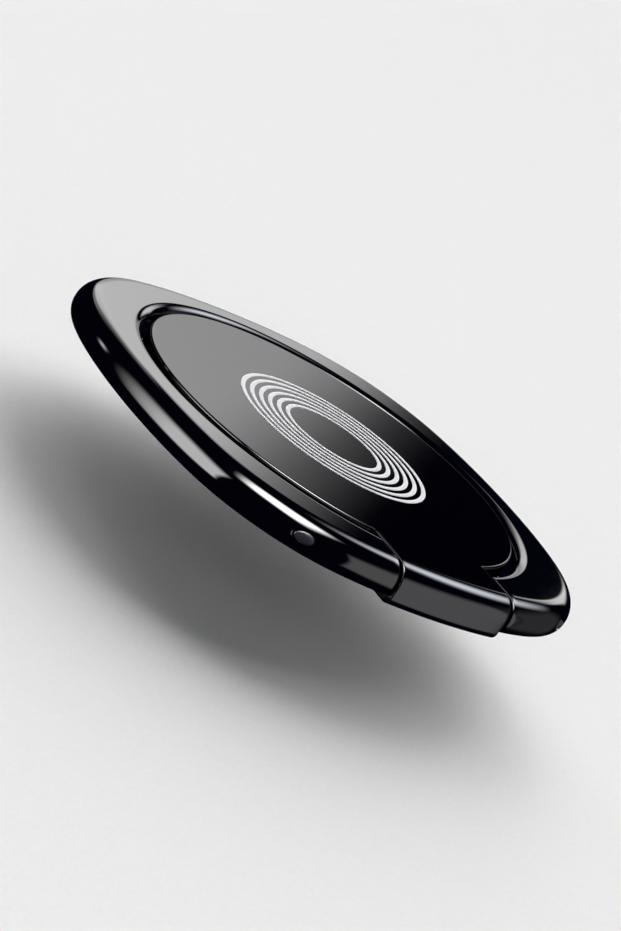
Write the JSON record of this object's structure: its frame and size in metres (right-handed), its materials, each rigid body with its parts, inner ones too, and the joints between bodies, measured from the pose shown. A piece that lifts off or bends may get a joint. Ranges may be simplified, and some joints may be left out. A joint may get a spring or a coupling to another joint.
{
  "type": "phone ring holder",
  "caption": "Flat rounded-square finger ring hinged on a round face plate that swivels on a stick-on base, to grip a phone or prop it up.",
  "frame": {"origin": "centre of the stuck face, on the swivel axis", "axes": "+Z away from the phone along the swivel axis, -Y towards the hinge, X along the hinge pin"},
  "size_m": [0.036, 0.036, 0.0042],
  "materials": {
    "ring_plating": "mirror-polished black chrome plating",
    "face_plating": "mirror-polished black chrome plating with a pale printed pattern",
    "pin_steel": "ground steel",
    "spring_steel": "tempered spring steel",
    "washer_steel": "stamped steel",
    "base_steel": "satin black coating on steel",
    "rivet_steel": "turned steel",
    "slip_plastic": "natural acetal sheet",
    "adhesive_foam": "matt acrylic foam tape"
  },
  "bodies": {
    "base": {"base_plate": "base_steel", "adhesive_pad": "adhesive_foam"},
    "turntable": {"face_plate": "face_plating", "friction_sleeve": "spring_steel", "swivel_rivet": "rivet_steel", "spring_washer": "spring_steel", "glide_washer": "slip_plastic"},
    "finger_ring": {"ring": "ring_plating", "hinge_pin": "pin_steel", "hinge_washer_left": "washer_steel", "hinge_washer_right": "washer_steel"}
  },
  "joints": [
    {"name": "base_swivel", "type": "hinge", "parent": "base", "child": "turntable", "pos_m": [0, 0, 0], "axis": [0, 0, 1], "continuous": true},
    {"name": "ring_hinge", "type": "hinge", "parent": "turntable", "child": "finger_ring", "pos_m": [0, -0.01535, 0.00295], "axis": [1, 0, 0], "range_deg": [0, 180]}
  ]
}
